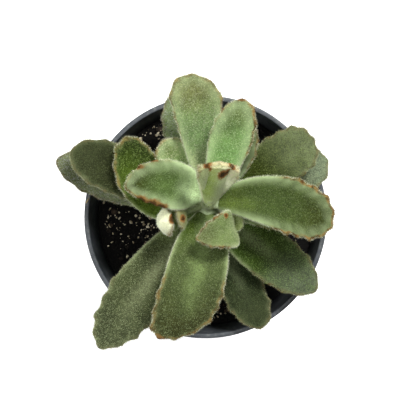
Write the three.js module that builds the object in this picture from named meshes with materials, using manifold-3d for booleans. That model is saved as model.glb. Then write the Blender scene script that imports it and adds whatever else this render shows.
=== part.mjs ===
// Chocolate soldier panda plant (Kalanchoe tomentosa) in a round plastic nursery pot.
// Millimetres, +Z up. The origin is the centre of the pot's underside, on the surface it stands on.
import * as THREE from "three";
import { mergeVertices } from "three/addons/utils/BufferGeometryUtils.js";
import Module from "manifold-3d";

const wasm = await Module();
wasm.setup();

// The pot: a tapered thin wall with a rolled lip, standing on a flat centre disc and a foot ring.
const POT_HEIGHT = 90;
const LIP_RADIUS = 54;
const LIP_WIDTH = 2.2;
const LIP_DEPTH = 5;
const LIP_ROUNDING = 0.8;
const WALL = 1.2;
const WALL_TOP_RADIUS = 52;
const WALL_BOTTOM_RADIUS = 39;
const FOOT_RING_WIDTH = 2;
const FLOOR_THICKNESS = 1.6;
const CENTRE_DISC_RADIUS = 24;
const CHANNEL_LIFT = 2.4;
const DRAIN_HOLES = 6;
const DRAIN_HOLE_RADIUS = 3.5;
const DRAIN_RING_RADIUS = 31;
const POT_SIDES = 64;

// The potting mix fills the pot to a crumbly surface below the lip.
const SOIL_LEVEL = 76;
const CRUMB_HEIGHT = 0.9;
const SOIL_SIDES = 52;
const SOIL_RING_WIDTH = 4.2;

// Pieces that touch keep this gap.
const GAP = 0.3;

// The stem leans a little towards the back, from its foot in the soil to its growing tip.
const STEM_FOOT = new THREE.Vector3(0.4, 2.4, 56);
const STEM_TIP = new THREE.Vector3(1.2, 6.6, 122);
const STEM_FOOT_RADIUS = 4;
const STEM_TIP_RADIUS = 2.4;
const STEM_SIDES = 16;
const STEM_RIDGES = 12;
const RIDGE_HEIGHT = 0.3;

// Every leaf: a narrow foot, its widest place past the middle, a blunt toothed end and a fleshy body.
const FOOT_SHARE = 0.3;
const RIB_SHARE = 0.82;
const EDGE_THICKNESS = 0.9;
const FOOT_THICKNESS = 3.2;
const TIP_THINNING = 0.35;
const UPPER_SHARE = 0.42;
const CHANNEL_SHARE = 0.15;
const MARGIN_ROLL = 0.35;
const TIP_FLATTENING = 0.5;
const TOOTHED_FROM = 0.5;
const TOOTH_SHARPNESS = 1.5;
const TOOTH_SIZES = [1, 0.6, 1.2, 0.75, 1, 0.6];
const SMOOTH_ROWS = 6;
const ROWS_PER_TOOTH = 4;
const OUTLINE_POINTS = 14;
const SPINE_STEPS = 24;
const RINGS = [0, 0.55, 1];

const POT_COLOUR = 0x24282b;
const SOIL_COLOUR = 0x14110e;
const STEM_COLOUR = 0x8e9a6a;
const LEAF_COLOURS = { old: 0x55683f, middle: 0x6f8a50, young: 0x9bb47e };

// The open leaves, from the lowest on the stem to the highest. Sizes in mm, angles in degrees.
// height: where the leaf leaves the stem, above the surface that the pot stands on.
// heading: the way it points at its foot, anticlockwise from +X; turn: how far it swings by its tip.
// rise and fall: its slope at its foot and at its tip; roll: how far its left edge is lifted.
// cup: the slope of its edges above its rib; belly: where it is widest; blunt: how square its end is.
// swell: how soon it widens from its foot; slant: how much further its left side reaches than its right.
// tooth: how far a tooth stands out; edge: how thick its edge is, where that isn't the usual.
const LEAVES = [
  { tone: "old", height: 90, heading: 163, turn: 0, rise: 16, fall: 0, roll: 0,
    length: 65, width: 20, belly: 0.6, blunt: 2, swell: 1.7, cup: 32, thick: 3.4, teeth: 4, tooth: 0.9, slant: 0 },
  { tone: "old", height: 91, heading: 293, turn: 0, rise: 14, fall: 0, roll: 0,
    length: 54, width: 17.6, belly: 0.62, blunt: 2.4, swell: 1.7, cup: 28, thick: 3.4, teeth: 4, tooth: 0.9,
    slant: 0.35 },
  { tone: "old", height: 92, heading: 21, turn: 0, rise: 16, fall: 0, roll: 0,
    length: 52, width: 20, belly: 0.65, blunt: 2.6, swell: 1.7, cup: 28, thick: 3.4, teeth: 4, tooth: 1.2, slant: 0 },
  { tone: "old", height: 94, heading: 231, turn: 4, rise: 18, fall: -6, roll: 0,
    length: 73.5, width: 24.5, belly: 0.58, blunt: 1.9, swell: 1.7, cup: 32, thick: 3.6, teeth: 5, tooth: 1.3,
    slant: -0.15 },
  { tone: "old", height: 96, heading: 322, turn: 0, rise: 16, fall: -4, roll: 0,
    length: 56, width: 21.5, belly: 0.52, blunt: 2, swell: 2.2, cup: 32, thick: 3.6, teeth: 4, tooth: 0.8, slant: 0 },
  { tone: "old", height: 97, heading: 105, turn: 0, rise: 18, fall: 4, roll: 0,
    length: 48, width: 20, belly: 0.6, blunt: 2, swell: 2, cup: 32, thick: 3.4, teeth: 4, tooth: 0.8, slant: 0 },
  { tone: "old", height: 100, heading: 158.5, turn: 0, rise: 22, fall: 2, roll: 0,
    length: 59.5, width: 20.6, belly: 0.6, blunt: 2.4, swell: 1.7, cup: 32, thick: 3.4, teeth: 4, tooth: 0.8, slant: 0 },
  { tone: "old", height: 101, heading: 31.8, turn: 0, rise: 22, fall: 2, roll: 0,
    length: 50, width: 20.5, belly: 0.65, blunt: 3, swell: 1.9, cup: 28, thick: 3.6, teeth: 5, tooth: 1, slant: 0.05 },
  { tone: "middle", height: 106, heading: 61, turn: 0, rise: 28, fall: 10, roll: 0,
    length: 36, width: 15, belly: 0.6, blunt: 2, swell: 1.7, cup: 32, thick: 3, teeth: 3, tooth: 0.6, slant: 0 },
  { tone: "middle", height: 105, heading: -7, turn: -11, rise: 19, fall: 6, roll: 0,
    length: 36, width: 11, belly: 0.55, blunt: 2, swell: 1.7, cup: 28, thick: 3, teeth: 3, tooth: 0.6, slant: 0 },
  { tone: "middle", height: 109.5, heading: 263.5, turn: -15, rise: 26, fall: -5, roll: 0,
    length: 55.5, width: 25.2, belly: 0.6, blunt: 2.8, swell: 2.7, cup: 28, thick: 3.8, teeth: 5, tooth: 1.2,
    slant: -0.6 },
  { tone: "middle", height: 105, heading: 189.5, turn: -113, rise: 20, fall: 14, roll: 0,
    length: 46.8, width: 20.3, belly: 0.58, blunt: 2.4, swell: 1.9, cup: 28, thick: 3.4, teeth: 5, tooth: 0.8, slant: 0.25 },
  { tone: "middle", height: 110.5, heading: 126, turn: 0, rise: 34, fall: 20, roll: 0,
    length: 31, width: 15.5, belly: 0.66, blunt: 2.4, swell: 1.7, cup: 32, thick: 2.6, teeth: 3, tooth: 0.6, slant: 0 },
  { tone: "middle", height: 115, heading: 11, turn: -46, rise: 26, fall: -5, roll: 0,
    length: 51, width: 22, belly: 0.6, blunt: 2.4, swell: 1.6, cup: 28, thick: 3.8, teeth: 5, tooth: 1.1, slant: -0.15 },
  { tone: "middle", height: 114.9, heading: 95.5, turn: 3, rise: 32, fall: 10, roll: 0,
    length: 52, width: 20, belly: 0.8, blunt: 2.4, swell: 1.15, cup: 36, thick: 3.6, teeth: 4, tooth: 0.8, slant: 0.2 },
  { tone: "young", height: 118, heading: 145.5, turn: 53, rise: 42, fall: 20, roll: 0,
    length: 36.5, width: 19.5, belly: 0.5, blunt: 1.75, swell: 2.3, cup: 36, thick: 3.2, teeth: 4, tooth: 0.7, slant: 0 },
  { tone: "young", height: 119, heading: 68, turn: 8, rise: 42, fall: 24, roll: 0,
    length: 46.2, width: 16.5, belly: 0.62, blunt: 2.4, swell: 1.4, cup: 36, thick: 3.2, teeth: 4, tooth: 0.7, slant: -0.2 },
];

// The young leaves that stand clasped on the growing tip. A rise over 90 leans back over the stem.
const CROWN_BUD = {
  bends: [[1.6, 6.9, 124.6], [2.3, 7.8, 127]],
  radius: 2.1,
  leaves: [
    { foot: [1.8, 6, 124], heading: 254, turn: 0, rise: 120, fall: 118, roll: 16, edge: 1.6,
      length: 30, width: 15.4, belly: 0.75, blunt: 3.4, swell: 1.2, cup: 35, thick: 3, teeth: 4, tooth: 0.8, slant: 0 },
    { foot: [2.6, 9.1, 124], heading: 76, turn: 0, rise: 63, fall: 65, roll: 14, edge: 1.6,
      length: 29, width: 15.4, belly: 0.75, blunt: 3.4, swell: 1.2, cup: 35, thick: 3, teeth: 4, tooth: 0.8, slant: 0 },
  ],
};

// The side shoots, each a bent stem from beside the main one with young leaves at its end.
const SIDE_SHOOT_LEFT = {
  bends: [[-3, 4.5, 110.6], [-8.5, 2.8, 113], [-13.6, -1.4, 114.5]],
  radius: 1.6,
  leaves: [
    { foot: [-13.8, -1.2, 114.2], heading: 189, turn: 0, rise: 15, fall: 168, roll: 0, edge: 1.6,
      length: 17.8, width: 12, belly: 0.55, blunt: 2.6, swell: 1.6, cup: 45, thick: 3, teeth: 3, tooth: 0.5, slant: 0 },
    { foot: [-12.5, -0.3, 114.7], heading: 13, turn: 0, rise: 30, fall: 140, roll: 0, edge: 1.4,
      length: 13.5, width: 10.4, belly: 0.55, blunt: 2.6, swell: 1.6, cup: 34, thick: 2.8, teeth: 3, tooth: 0.5, slant: 0 },
  ],
};
const SIDE_SHOOT_RIGHT = {
  bends: [[4.6, 1.7, 102], [8, -1.3, 104.6], [10.4, -2.9, 113.5]],
  radius: 1.6,
  leaves: [
    { foot: [10.8, -4.5, 113.5], heading: 196, turn: 0, rise: 100, fall: -10, roll: 0, edge: 1.2,
      length: 24, width: 15.6, belly: 0.36, blunt: 1.5, swell: 1.1, cup: 30, thick: 2.8, teeth: 4, tooth: 0.7, slant: 0.15 },
    { foot: [11.3, -2.8, 110.4], heading: 24, turn: 0, rise: 78, fall: 35, roll: 0, edge: 0.9,
      length: 8.6, width: 7, belly: 0.6, blunt: 2.2, swell: 1.6, cup: 30, thick: 2, teeth: 2, tooth: 0.4, slant: 0 },
  ],
};

// A closed surface as a manifold solid, and back.
function solidOf(geometry) {
  const bare = geometry.clone();
  bare.deleteAttribute("normal");
  bare.deleteAttribute("uv");
  const merged = mergeVertices(bare, 1e-4);
  return new wasm.Manifold(
    new wasm.Mesh({
      numProp: 3,
      vertProperties: merged.attributes.position.array,
      triVerts: new Uint32Array(merged.index.array),
    }),
  );
}

function geometryOf(solid) {
  const mesh = solid.getMesh();
  const geometry = new THREE.BufferGeometry();
  geometry.setAttribute("position", new THREE.Float32BufferAttribute(mesh.vertProperties, 3));
  geometry.setIndex(new THREE.BufferAttribute(new Uint32Array(mesh.triVerts), 1));
  geometry.computeVertexNormals();
  return geometry;
}

// A profile of [radius, height] pairs turned about the Z axis; it runs with its solid on its left.
function turned(profile, sides) {
  const points = profile.map(([radius, height]) => new THREE.Vector2(radius, height));
  return new THREE.LatheGeometry(points, sides).rotateX(Math.PI / 2);
}

function cylinderAt(radius, bottom, top, sides) {
  const cylinder = new THREE.CylinderGeometry(radius, radius, top - bottom, sides);
  return cylinder.rotateX(Math.PI / 2).translate(0, 0, (bottom + top) / 2);
}

function wallRadiusAt(height) {
  const share = height / (POT_HEIGHT - LIP_DEPTH);
  return WALL_BOTTOM_RADIUS + (WALL_TOP_RADIUS - WALL_BOTTOM_RADIUS) * share;
}

// The pot's inside, from the centre of its floor up to the lip.
const CHANNEL_TOP = CHANNEL_LIFT + FLOOR_THICKNESS;
const POT_INSIDE = [
  [0, FLOOR_THICKNESS],
  [CENTRE_DISC_RADIUS - 1, FLOOR_THICKNESS],
  [CENTRE_DISC_RADIUS + CHANNEL_LIFT - 1, CHANNEL_TOP],
  [wallRadiusAt(CHANNEL_TOP) - WALL, CHANNEL_TOP],
  [wallRadiusAt(SOIL_LEVEL) - WALL, SOIL_LEVEL],
];

function makePot() {
  const lipInside = LIP_RADIUS - LIP_WIDTH;
  const underLip = POT_HEIGHT - LIP_DEPTH;
  const footInside = WALL_BOTTOM_RADIUS - FOOT_RING_WIDTH;
  const profile = [
    ...POT_INSIDE,
    [lipInside, POT_HEIGHT - LIP_ROUNDING],
    [lipInside + LIP_ROUNDING / 2, POT_HEIGHT - LIP_ROUNDING / 4],
    [lipInside + LIP_ROUNDING, POT_HEIGHT],
    [LIP_RADIUS - LIP_ROUNDING, POT_HEIGHT],
    [LIP_RADIUS - LIP_ROUNDING / 4, POT_HEIGHT - LIP_ROUNDING / 4],
    [LIP_RADIUS, POT_HEIGHT - LIP_ROUNDING],
    [LIP_RADIUS, underLip + LIP_ROUNDING / 2],
    [LIP_RADIUS - LIP_ROUNDING / 2, underLip],
    [WALL_TOP_RADIUS, underLip],
    [wallRadiusAt(LIP_ROUNDING), LIP_ROUNDING],
    [WALL_BOTTOM_RADIUS - LIP_ROUNDING, 0],
    [footInside, 0],
    [footInside - LIP_ROUNDING, CHANNEL_LIFT],
    [CENTRE_DISC_RADIUS + CHANNEL_LIFT, CHANNEL_LIFT],
    [CENTRE_DISC_RADIUS, 0],
    [0, 0],
  ];
  let pot = solidOf(turned(profile.reverse(), POT_SIDES));
  const hole = cylinderAt(DRAIN_HOLE_RADIUS, CHANNEL_LIFT - 1, CHANNEL_TOP + 1, 20);
  for (let i = 0; i < DRAIN_HOLES; i += 1) {
    const angle = (i / DRAIN_HOLES) * Math.PI * 2;
    const x = DRAIN_RING_RADIUS * Math.cos(angle);
    const y = DRAIN_RING_RADIUS * Math.sin(angle);
    pot = pot.subtract(solidOf(hole.clone().translate(x, y, 0)));
  }
  return geometryOf(pot);
}

// The stem's centre line and radius at a height.
function stemCentreAt(height) {
  const share = (height - STEM_FOOT.z) / (STEM_TIP.z - STEM_FOOT.z);
  return STEM_FOOT.clone().lerp(STEM_TIP, share);
}

function stemRadiusAt(height) {
  const share = (height - STEM_FOOT.z) / (STEM_TIP.z - STEM_FOOT.z);
  return THREE.MathUtils.lerp(STEM_FOOT_RADIUS, STEM_TIP_RADIUS, share);
}

// The stem's outline turned about Z and leaned along its centre line.
function leanedStem(profile) {
  const geometry = turned(profile, STEM_SIDES);
  const position = geometry.attributes.position;
  for (let i = 0; i < position.count; i += 1) {
    const centre = stemCentreAt(position.getZ(i));
    position.setX(i, position.getX(i) + centre.x);
    position.setY(i, position.getY(i) + centre.y);
  }
  return geometry;
}

function makeStem() {
  const profile = [
    [0, STEM_FOOT.z],
    [stemRadiusAt(STEM_FOOT.z) - 0.8, STEM_FOOT.z],
    [stemRadiusAt(STEM_FOOT.z), STEM_FOOT.z + 1],
  ];
  const spacing = (STEM_TIP.z - 2 - SOIL_LEVEL) / STEM_RIDGES;
  for (let i = 0; i <= STEM_RIDGES; i += 1) {
    const height = SOIL_LEVEL + i * spacing;
    profile.push([stemRadiusAt(height) - RIDGE_HEIGHT, height - spacing * 0.4]);
    profile.push([stemRadiusAt(height), height]);
  }
  profile.push([STEM_TIP_RADIUS - 1, STEM_TIP.z], [0, STEM_TIP.z]);
  return leanedStem(profile);
}

// Low, broken relief for the soil: the sum of a few crossed waves, always the same.
function crumbsAt(x, y) {
  const coarse = Math.sin(0.31 * x + 0.8) * Math.cos(0.27 * y - 0.4);
  const medium = Math.sin(0.93 * x - 1.1 * y) * Math.cos(0.71 * x + 0.64 * y + 1);
  const fine = Math.sin(2.1 * x + 0.5) * Math.sin(1.9 * y - 0.7);
  return CRUMB_HEIGHT * (0.5 * coarse + 0.35 * medium + 0.3 * fine);
}

function makeSoil() {
  const below = POT_INSIDE.map(([radius, height]) => [Math.max(radius - GAP, 0), height + GAP]);
  const edge = below.pop();
  const profile = [...below, [edge[0], SOIL_LEVEL - CRUMB_HEIGHT]];
  for (let radius = edge[0] - 1.2; radius > SOIL_RING_WIDTH / 2; radius -= SOIL_RING_WIDTH) {
    profile.push([radius, SOIL_LEVEL]);
  }
  profile.push([0, SOIL_LEVEL]);
  const geometry = turned(profile, SOIL_SIDES);
  const position = geometry.attributes.position;
  for (let i = 0; i < position.count; i += 1) {
    if (position.getZ(i) > SOIL_LEVEL - CRUMB_HEIGHT / 2) {
      position.setZ(i, SOIL_LEVEL + crumbsAt(position.getX(i), position.getY(i)));
    }
  }
  const stemHole = leanedStem([
    [0, STEM_FOOT.z - GAP],
    [stemRadiusAt(STEM_FOOT.z) + GAP, STEM_FOOT.z - GAP],
    [stemRadiusAt(SOIL_LEVEL) + GAP + 0.1, SOIL_LEVEL],
    [stemRadiusAt(SOIL_LEVEL) + GAP + 0.1, SOIL_LEVEL + 4],
    [0, SOIL_LEVEL + 4],
  ]);
  return geometryOf(solidOf(geometry).subtract(solidOf(stemHole)));
}

// The way a leaf points at a share of its length.
function leafDirectionAt(leaf, share) {
  const heading = THREE.MathUtils.degToRad(leaf.heading + leaf.turn * share);
  const slope = THREE.MathUtils.degToRad(THREE.MathUtils.lerp(leaf.rise, leaf.fall, share));
  const ahead = new THREE.Vector3(
    Math.cos(slope) * Math.cos(heading),
    Math.cos(slope) * Math.sin(heading),
    Math.sin(slope),
  );
  return { ahead, heading };
}

// The place on a leaf's rib at a distance from its foot, with its left and its up there.
function ribAt(leaf, foot, distance) {
  const point = foot.clone();
  for (let i = 0; i < SPINE_STEPS; i += 1) {
    const share = ((i + 0.5) / SPINE_STEPS) * (distance / leaf.length);
    point.addScaledVector(leafDirectionAt(leaf, share).ahead, distance / SPINE_STEPS);
  }
  const { ahead, heading } = leafDirectionAt(leaf, distance / leaf.length);
  const roll = THREE.MathUtils.degToRad(leaf.roll);
  const left = new THREE.Vector3(-Math.sin(heading), Math.cos(heading), 0);
  left.applyAxisAngle(ahead, roll);
  const up = new THREE.Vector3().crossVectors(ahead, left);
  return { point, left, up };
}

// Half of a flat leaf's outline, from its foot to its tip, as a curve in its own plane.
function sideCurveOf(leaf) {
  const half = leaf.width / 2;
  const points = [];
  for (let i = 0; i < OUTLINE_POINTS; i += 1) {
    const share = i / OUTLINE_POINTS;
    const swell = 1 - Math.pow(1 - share, leaf.swell);
    points.push(new THREE.Vector2(
      share * leaf.belly * leaf.length,
      half * THREE.MathUtils.lerp(FOOT_SHARE, 1, swell),
    ));
  }
  for (let i = 0; i <= OUTLINE_POINTS; i += 1) {
    const angle = (i / OUTLINE_POINTS) * (Math.PI / 2);
    points.push(new THREE.Vector2(
      leaf.length * (leaf.belly + (1 - leaf.belly) * Math.pow(Math.sin(angle), 2 / leaf.blunt)),
      half * Math.pow(Math.max(Math.cos(angle), 0), 2 / leaf.blunt),
    ));
  }
  return new THREE.SplineCurve(points);
}

// The rows of a half leaf: each runs from a point on the rib to a point on the toothed edge.
function rowsOf(leaf) {
  const curve = sideCurveOf(leaf);
  const toothRows = leaf.teeth * ROWS_PER_TOOTH;
  const rows = [];
  for (let i = 0; i <= SMOOTH_ROWS + toothRows; i += 1) {
    const toothed = Math.max(i - SMOOTH_ROWS, 0) / toothRows;
    const along = TOOTHED_FROM * Math.min(i / SMOOTH_ROWS, 1) + (1 - TOOTHED_FROM) * toothed;
    const edge = curve.getPointAt(along);
    const tangent = curve.getTangentAt(along);
    const wave = 0.5 + 0.5 * Math.cos(2 * Math.PI * leaf.teeth * (1 - toothed));
    const size = TOOTH_SIZES[Math.round(leaf.teeth * (1 - toothed)) % TOOTH_SIZES.length];
    const reach = toothed > 0 ? leaf.tooth * size * Math.pow(wave, TOOTH_SHARPNESS) : 0;
    const isTip = i === SMOOTH_ROWS + toothRows;
    edge.x += -tangent.y * reach;
    edge.y = isTip ? 0 : edge.y + tangent.x * reach;
    rows.push({ edge, rib: RIB_SHARE * leaf.length * along });
  }
  return rows;
}

// A point of the leaf's body: ring 0 is on the rib and ring 1 on the edge, face +1 on top, -1 below.
function leafPoint(leaf, foot, row, ring, side, face) {
  const x = THREE.MathUtils.lerp(row.rib, row.edge.x, ring);
  const y = row.edge.y * ring;
  const along = x / leaf.length;
  const { point, left, up } = ribAt(leaf, foot, x + leaf.slant * side * y * along * along);
  const softness = CHANNEL_SHARE * leaf.width;
  const slope = Math.tan(THREE.MathUtils.degToRad(leaf.cup)) * (1 - TIP_FLATTENING * along * along);
  const lift = slope * (Math.hypot(y, softness) - softness) * (1 - MARGIN_ROLL * ring * ring);
  const rootShare = Math.min(along / leaf.belly, 1);
  const fullest = THREE.MathUtils.lerp(FOOT_THICKNESS, leaf.thick, rootShare);
  const middle = fullest * (1 - TIP_THINNING * along * along);
  const thickness = THREE.MathUtils.lerp(middle, leaf.edge ?? EDGE_THICKNESS, ring * ring);
  const upper = THREE.MathUtils.lerp(UPPER_SHARE, 0.5, ring);
  const offset = face > 0 ? thickness * upper : -thickness * (1 - upper);
  return point.addScaledVector(left, side * y).addScaledVector(up, lift + offset);
}

// A leaf as one closed surface: two faces, a narrow rim round its edge and a small end at its foot.
function makeLeaf(leaf, foot) {
  const rows = rowsOf(leaf);
  const corners = [];
  const triangle = (a, b, c, flip) => corners.push(...(flip ? [a, c, b] : [a, b, c]));
  const quad = (a, b, c, d, flip) => {
    triangle(a, b, c, flip);
    triangle(a, c, d, flip);
  };
  for (const side of [1, -1]) {
    const at = (row, ring, face) => leafPoint(leaf, foot, rows[row], RINGS[ring], side, face);
    const rim = RINGS.length - 1;
    for (let row = 0; row < rows.length - 1; row += 1) {
      for (let ring = 0; ring < rim; ring += 1) {
        for (const face of [1, -1]) {
          quad(
            at(row, ring, face),
            at(row + 1, ring, face),
            at(row + 1, ring + 1, face),
            at(row, ring + 1, face),
            side * face < 0,
          );
        }
      }
      quad(at(row, rim, 1), at(row + 1, rim, 1), at(row + 1, rim, -1), at(row, rim, -1), side < 0);
    }
    for (let ring = 0; ring < rim; ring += 1) {
      quad(at(0, ring, 1), at(0, ring + 1, 1), at(0, ring + 1, -1), at(0, ring, -1), side < 0);
    }
  }
  const geometry = new THREE.BufferGeometry().setFromPoints(corners);
  const merged = mergeVertices(geometry, 1e-4);
  merged.computeVertexNormals();
  return merged;
}

// Where a leaf's foot meets the stem, a gap away from it.
function footOnStem(leaf) {
  const slope = THREE.MathUtils.degToRad(leaf.rise);
  const heading = THREE.MathUtils.degToRad(leaf.heading);
  const overhang = FOOT_THICKNESS * UPPER_SHARE * Math.sin(slope);
  const out = new THREE.Vector3(Math.cos(heading), Math.sin(heading), 0);
  return stemCentreAt(leaf.height).addScaledVector(out, stemRadiusAt(leaf.height) + overhang + 2 * GAP);
}

// A round-ended rod between two points.
function rodBetween(from, to, radius) {
  const along = new THREE.Vector3().subVectors(to, from);
  const rod = new THREE.CapsuleGeometry(radius, along.length(), 4, 10);
  const turn = new THREE.Quaternion().setFromUnitVectors(new THREE.Vector3(0, 1, 0), along.clone().normalize());
  const middle = new THREE.Vector3().addVectors(from, to).multiplyScalar(0.5);
  return rod.applyQuaternion(turn).translate(middle.x, middle.y, middle.z);
}

// A shoot grown as one piece: a bent stem with young leaves on it.
function makeShoot({ bends, radius, leaves }) {
  const points = bends.map((bend) => new THREE.Vector3(...bend));
  let shoot = solidOf(rodBetween(points[0], points[1], radius));
  for (let i = 1; i < points.length - 1; i += 1) {
    shoot = shoot.add(solidOf(rodBetween(points[i], points[i + 1], radius)));
  }
  for (const leaf of leaves) {
    shoot = shoot.add(solidOf(makeLeaf(leaf, new THREE.Vector3(...leaf.foot))));
  }
  return geometryOf(shoot);
}

const plant = new THREE.Group();

function addNode(name, geometry, colour, roughness) {
  const material = new THREE.MeshStandardMaterial({ color: colour, roughness, metalness: 0 });
  const mesh = new THREE.Mesh(geometry, material);
  mesh.name = name;
  plant.add(mesh);
}

addNode("pot", makePot(), POT_COLOUR, 0.5);
addNode("soil", makeSoil(), SOIL_COLOUR, 0.95);
addNode("stem", makeStem(), STEM_COLOUR, 0.85);
LEAVES.forEach((leaf, index) => {
  const number = String(index + 1).padStart(2, "0");
  addNode(`leaf_${number}`, makeLeaf(leaf, footOnStem(leaf)), LEAF_COLOURS[leaf.tone], 0.85);
});

addNode("crown_bud", makeShoot(CROWN_BUD), LEAF_COLOURS.young, 0.85);
addNode("side_shoot_left", makeShoot(SIDE_SHOOT_LEFT), LEAF_COLOURS.young, 0.85);
addNode("side_shoot_right", makeShoot(SIDE_SHOOT_RIGHT), LEAF_COLOURS.young, 0.85);

export default plant;
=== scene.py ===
import math
from collections import namedtuple

import bpy
import numpy as np
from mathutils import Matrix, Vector


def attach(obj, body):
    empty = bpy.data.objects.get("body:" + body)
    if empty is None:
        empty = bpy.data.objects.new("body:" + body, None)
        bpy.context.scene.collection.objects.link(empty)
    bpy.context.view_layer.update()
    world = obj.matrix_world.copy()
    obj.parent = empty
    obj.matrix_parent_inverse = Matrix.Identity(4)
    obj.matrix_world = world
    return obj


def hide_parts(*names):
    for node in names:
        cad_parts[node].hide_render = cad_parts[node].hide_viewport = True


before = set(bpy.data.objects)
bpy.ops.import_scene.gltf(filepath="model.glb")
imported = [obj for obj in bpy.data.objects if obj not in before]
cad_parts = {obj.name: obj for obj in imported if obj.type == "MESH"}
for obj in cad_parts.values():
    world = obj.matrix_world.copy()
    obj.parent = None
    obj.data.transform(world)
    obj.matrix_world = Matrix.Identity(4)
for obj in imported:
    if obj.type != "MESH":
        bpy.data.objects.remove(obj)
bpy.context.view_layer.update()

# Lengths are given in millimetres, and Blender's are in metres.
MM = 0.001

# The pot and the mix in it, as the frame has them.
POT_HEIGHT = 90
LIP_RADIUS = 54
LIP_WIDTH = 2.2
LIP_DEPTH = 5
WALL = 1.2
WALL_TOP_RADIUS = 52
WALL_BOTTOM_RADIUS = 39
FOOT_RING_WIDTH = 2
FLOOR_THICKNESS = 1.6
CENTRE_DISC_RADIUS = 24
CHANNEL_LIFT = 2.4
DRAIN_HOLES = 6
DRAIN_HOLE_RADIUS = 3.5
DRAIN_RING_RADIUS = 31
SOIL_LEVEL = 76
CRUMB_HEIGHT = 0.9

# The stem, as the frame has it.
STEM_FOOT = np.array([0.4, 2.4, 56.0])
STEM_TIP = np.array([1.2, 6.6, 122.0])
STEM_FOOT_RADIUS = 4
STEM_TIP_RADIUS = 2.4

# The gap between two solids that sit together, as the frame has it.
GAP = 0.3

# What every leaf shares, as the frame has it.
FOOT_SHARE = 0.3
RIB_SHARE = 0.82
EDGE_THICKNESS = 0.9
FOOT_THICKNESS = 3.2
TIP_THINNING = 0.35
UPPER_SHARE = 0.42
CHANNEL_SHARE = 0.15
TIP_FLATTENING = 0.5
TOOTHED_FROM = 0.5
TOOTH_SHARPNESS = 1.5
TOOTH_SIZES = np.array([1, 0.6, 1.2, 0.75, 1.0, 0.6])
MARGIN_ROLL = 0.35

# How finely the leaves are laid out here: rows along half an outline, and rings from the rib to the edge.
SMOOTH_ROWS = 12
ROWS_PER_TOOTH = 6
RINGS = np.array([0, 0.16, 0.34, 0.52, 0.68, 0.82, 0.93, 1.0])
LOWER_STEPS = 200
UPPER_STEPS = 400
TANGENT_STEP = 0.004
RIB_WALK = np.linspace(-0.1, 1.3, 561)

# How steeply the sides of a bowl-shaped young leaf rise.
BOWL_POWER = 2.5

# The hairs: how many stand on a square millimetre, how far they lean to a leaf's tip, how far one stands from
# the middle of its tuft, how deep it is rooted, and how long and wide it is.
HAIRS_PER_SQUARE = 5
HAIR_LEAN = 0.4
TUFT_SPREAD = 0.16
ROOT_DEPTH = 0.08
FELT_LENGTH = 0.8
FRINGE_LENGTH = 1.0
FRINGE_WIDTH = 0.08
BROWN_WIDTH = 0.09
# How dense the felt is under a leaf beside that on top, and the trace of hairs that stands anywhere.
UNDERSIDE_FELT = 0.36
TRACE = 1e-4
SORTING_DIRECTION = np.array([0.6713, 0.5391, 0.5087])

# One leaf's values: its place on the stem, how it bends, its outline, its section and its teeth.
leaf = namedtuple(
    "leaf",
    "height heading turn rise fall length width belly blunt swell cup thick teeth tooth slant"
    " roll edge foot bowl",
    defaults=(0, EDGE_THICKNESS, None, 0),
)

# The open leaves, from the lowest on the stem to the highest, in the frame's order.
LEAVES = [
    leaf(90, 163, 0, 16, 0, 65, 20, 0.6, 2, 1.7, 32, 3.4, 4, 0.9, 0),
    leaf(91, 293, 0, 14, 0, 54, 17.6, 0.62, 2.4, 1.7, 28, 3.4, 4, 0.9, 0.35),
    leaf(92, 21, 0, 16, 0, 52, 20, 0.65, 2.6, 1.7, 28, 3.4, 4, 1.2, 0),
    leaf(94, 231, 4, 18, -6, 73.5, 24.5, 0.58, 1.9, 1.7, 32, 3.6, 5, 1.3, -0.15),
    leaf(96, 322, 0, 16, -4, 56, 21.5, 0.52, 2, 2.2, 32, 3.6, 4, 0.8, 0),
    leaf(97, 105, 0, 18, 4, 48, 20, 0.6, 2, 2, 32, 3.4, 4, 0.8, 0),
    leaf(100, 158.5, 0, 22, 2, 59.5, 20.6, 0.6, 2.4, 1.7, 32, 3.4, 4, 0.8, 0),
    leaf(101, 31.8, 0, 22, 2, 50, 20.5, 0.65, 3, 1.9, 28, 3.6, 5, 1, 0.05),
    leaf(106, 61, 0, 28, 10, 36, 15, 0.6, 2, 1.7, 32, 3, 3, 0.6, 0),
    leaf(105, -7, -11, 19, 6, 36, 11, 0.55, 2, 1.7, 28, 3, 3, 0.6, 0),
    leaf(109.5, 263.5, -15, 26, -5, 55.5, 25.2, 0.6, 2.8, 2.7, 28, 3.8, 5, 1.2, -0.6),
    leaf(105, 189.5, -113, 20, 14, 46.8, 20.3, 0.58, 2.4, 1.9, 28, 3.4, 5, 0.8, 0.25),
    leaf(110.5, 126, 0, 34, 20, 31, 15.5, 0.66, 2.4, 1.7, 32, 2.6, 3, 0.6, 0),
    leaf(115, 11, -46, 26, -5, 51, 22, 0.6, 2.4, 1.6, 28, 3.8, 5, 1.1, -0.15),
    leaf(114.9, 95.5, 3, 32, 10, 52, 20, 0.8, 2.4, 1.15, 36, 3.6, 4, 0.8, 0.2),
    leaf(118, 145.5, 53, 42, 20, 36.5, 19.5, 0.5, 1.75, 2.3, 36, 3.2, 4, 0.7, 0),
    leaf(119, 68, 8, 42, 24, 46.2, 16.5, 0.62, 2.4, 1.4, 36, 3.2, 4, 0.7, -0.2),
]

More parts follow.
